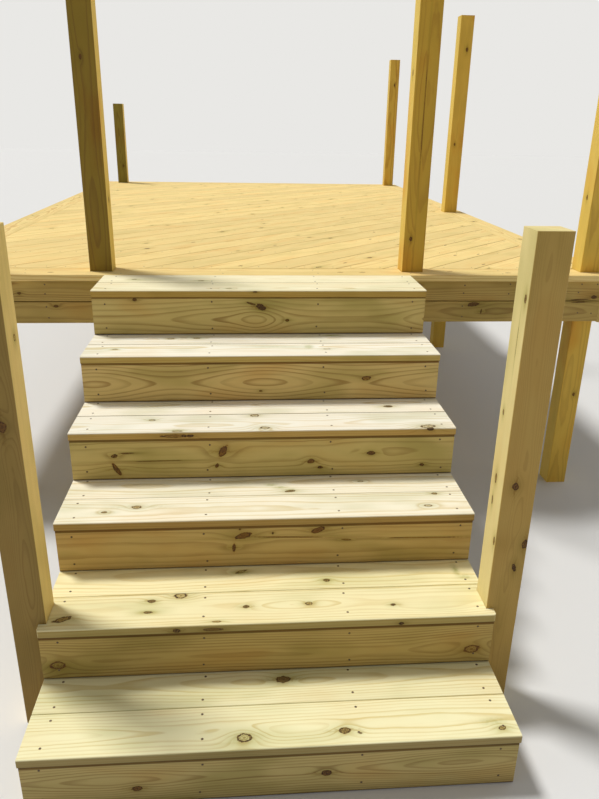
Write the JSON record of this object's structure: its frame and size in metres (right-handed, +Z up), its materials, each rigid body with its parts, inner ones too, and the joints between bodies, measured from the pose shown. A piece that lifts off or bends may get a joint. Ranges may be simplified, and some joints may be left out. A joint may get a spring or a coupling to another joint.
{
  "type": "wooden deck stairs",
  "caption": "Straight timber flight with closed risers and newel posts, climbing to a raised deck with diagonal boards, a border and bare rail posts.",
  "frame": {"origin": "centre of the footprint at ground level", "axes": "+Y from the foot of the flight towards the back of the deck, +X to the right when climbing, +Z up"},
  "size_m": [2.9464, 6.2906, 2.2606],
  "materials": {
    "band_pine": "bare sawn and planed pine",
    "decking_pine": "bare sawn and planed pine",
    "frame_pine": "bare sawn and planed pine",
    "newel_pine": "bare sawn and planed pine",
    "post_pine": "bare sawn and planed pine",
    "riser_pine": "bare sawn and planed pine",
    "stringer_pine": "bare sawn and planed pine",
    "tread_pine": "bare sawn and planed pine"
  },
  "bodies": {
    "root": {"band_front_lower": "band_pine", "band_front_upper": "band_pine", "blocking": "frame_pine", "border_back": "decking_pine", "border_front": "decking_pine", "border_left": "decking_pine", "border_right": "decking_pine", "field_boards": "decking_pine", "head_post_left": "post_pine", "head_post_right": "post_pine", "joists": "frame_pine", "ledger": "frame_pine", "newel_left": "newel_pine", "newel_right": "newel_pine", "post_back_left": "post_pine", "post_back_right": "post_pine", "post_front_left": "post_pine", "post_front_right": "post_pine", "post_mid_right": "post_pine", "rim_back": "frame_pine", "rim_right": "frame_pine", "riser_1": "riser_pine", "riser_2": "riser_pine", "riser_3": "riser_pine", "riser_4": "riser_pine", "riser_5": "riser_pine", "riser_6": "riser_pine", "stringer_1": "stringer_pine", "stringer_2": "stringer_pine", "stringer_3": "stringer_pine", "stringer_4": "stringer_pine", "tread_1_back": "tread_pine", "tread_1_front": "tread_pine", "tread_2_back": "tread_pine", "tread_2_front": "tread_pine", "tread_3_back": "tread_pine", "tread_3_front": "tread_pine", "tread_4_back": "tread_pine", "tread_4_front": "tread_pine", "tread_5_back": "tread_pine", "tread_5_front": "tread_pine", "tread_6_back": "tread_pine", "tread_6_front": "tread_pine"}
  },
  "joints": []
}
